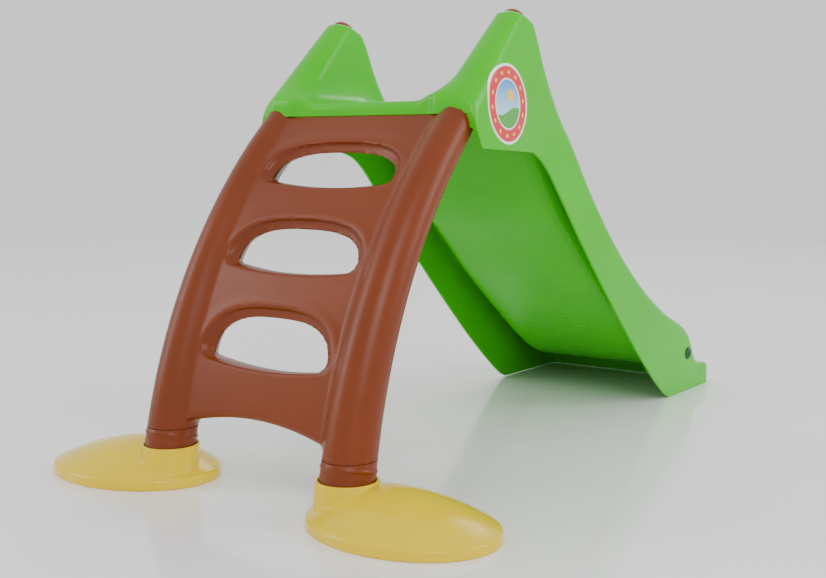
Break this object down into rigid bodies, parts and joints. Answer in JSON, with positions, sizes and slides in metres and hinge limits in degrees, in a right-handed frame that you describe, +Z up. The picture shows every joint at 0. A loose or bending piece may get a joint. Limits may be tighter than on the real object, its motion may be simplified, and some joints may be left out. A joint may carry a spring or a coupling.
{
  "type": "toddler slide",
  "caption": "Small free-standing toddler slide: green chute moulding with two horns hooked over a curved brown ladder that stands in wide domed yellow feet.",
  "frame": {"origin": "floor point under the centre of the slide's bounding box", "axes": "+Z up, +Y the sliding direction from the ladder to the run-out, +X to the right seen from behind the ladder"},
  "size_m": [0.6998, 1.1609, 0.6282],
  "materials": {
    "chute_plastic": "glossy blow or vacuum moulded polyethylene",
    "ladder_plastic": "satin blow moulded polyethylene",
    "foot_plastic": "glossy moulded polyethylene",
    "plug_plastic": "satin dark green",
    "label_film": "printed glossy film"
  },
  "bodies": {
    "ladder": {"ladder": "ladder_plastic"},
    "slide": {"slide_shell": "chute_plastic", "plug_left": "plug_plastic", "plug_right": "plug_plastic", "label_right": "label_film"},
    "foot_left": {"foot_left": "foot_plastic"},
    "foot_right": {"foot_right": "foot_plastic"}
  },
  "joints": [
    {"name": "slide_lift", "type": "slide", "parent": "ladder", "child": "slide", "axis": [0, 0.6947, 0.7193], "range_m": [0, 0.25]},
    {"name": "foot_left_pull", "type": "slide", "parent": "ladder", "child": "foot_left", "axis": [0, -0.1736, -0.9848], "range_m": [0, 0.06]},
    {"name": "foot_right_pull", "type": "slide", "parent": "ladder", "child": "foot_right", "axis": [0, -0.1736, -0.9848], "range_m": [0, 0.06]}
  ]
}
